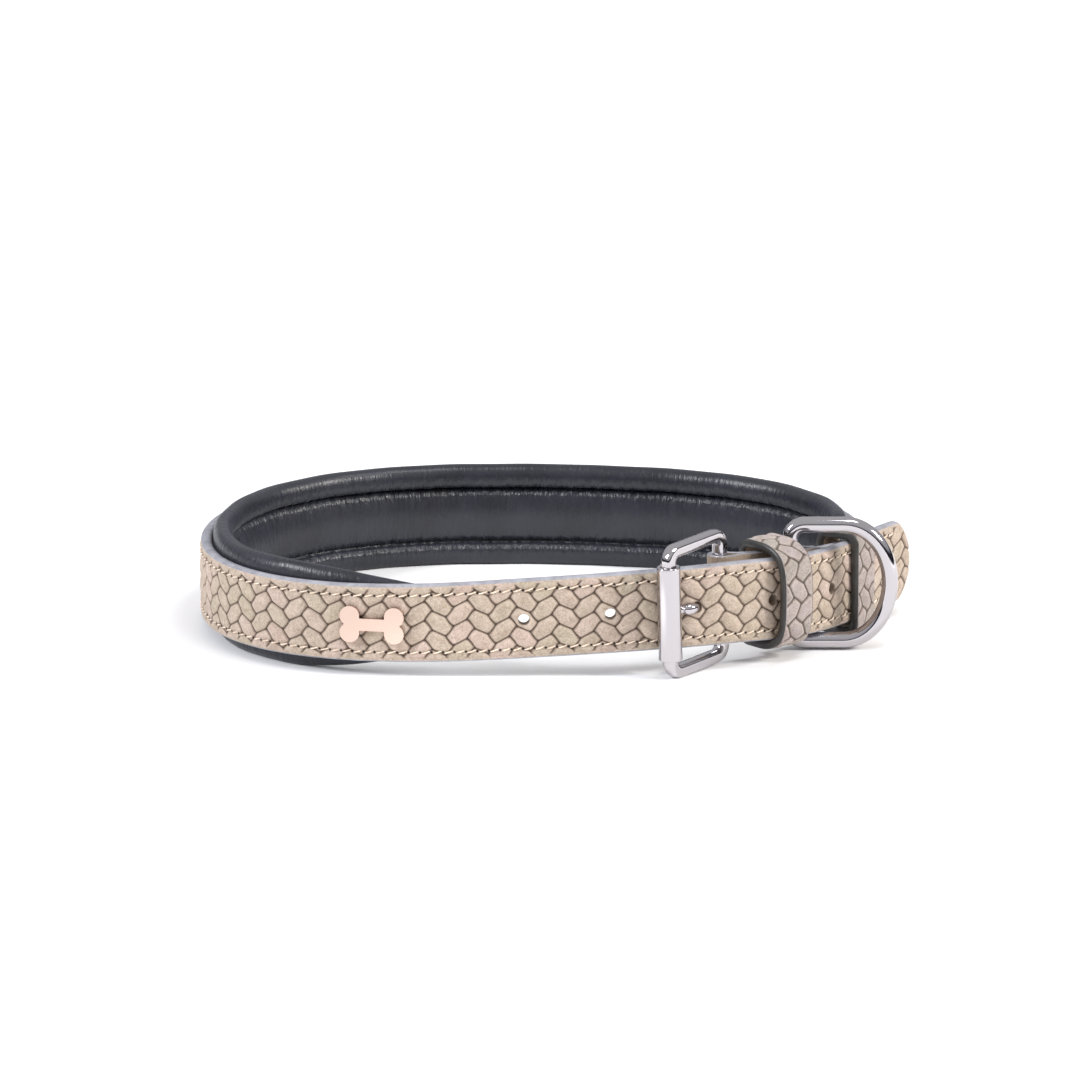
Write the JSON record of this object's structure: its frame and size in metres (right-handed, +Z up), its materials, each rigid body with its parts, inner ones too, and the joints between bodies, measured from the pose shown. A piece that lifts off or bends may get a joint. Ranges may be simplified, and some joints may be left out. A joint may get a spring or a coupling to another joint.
{
  "type": "dog collar",
  "caption": "Padded flat leather collar, fastened into a loop by a roller buckle, with a pointed punched free end held by leather keepers and a D-shaped ring for a lead.",
  "frame": {"origin": "under the middle of the collar's box, on the surface that the padding's lower edge rests on", "axes": "+X towards the free end's tip, -Y towards the buckle and the front, +Z up across the strap's width"},
  "size_m": [0.2198, 0.1564, 0.0427],
  "materials": {
    "nubuck_leather": "matt nubuck with an embossed weave",
    "nappa_lining": "soft satin nappa",
    "keeper_leather": "matt nubuck with painted edges",
    "nickel_plate": "polished nickel plate",
    "rose_plate": "polished pale rose plate"
  },
  "bodies": {
    "collar": {"strap": "nubuck_leather", "padding": "nappa_lining", "folded_end": "nubuck_leather", "keeper_front": "keeper_leather", "keeper_rear": "keeper_leather", "buckle_frame": "nickel_plate", "buckle_prong": "nickel_plate", "ornament": "rose_plate"},
    "ring": {"d_ring": "nickel_plate"},
    "roller": {"buckle_roller": "nickel_plate"}
  },
  "joints": [
    {"name": "ring_swing", "type": "hinge", "parent": "collar", "child": "ring", "pos_m": [0.0717, -0.03714, 0.0211], "axis": [0, 0, 1], "range_deg": [-50, 15]},
    {"name": "roller_turn", "type": "hinge", "parent": "collar", "child": "roller", "pos_m": [0.03435, -0.07411, 0.02084], "axis": [-0.026, -0.0328, 0.9991], "continuous": true}
  ]
}
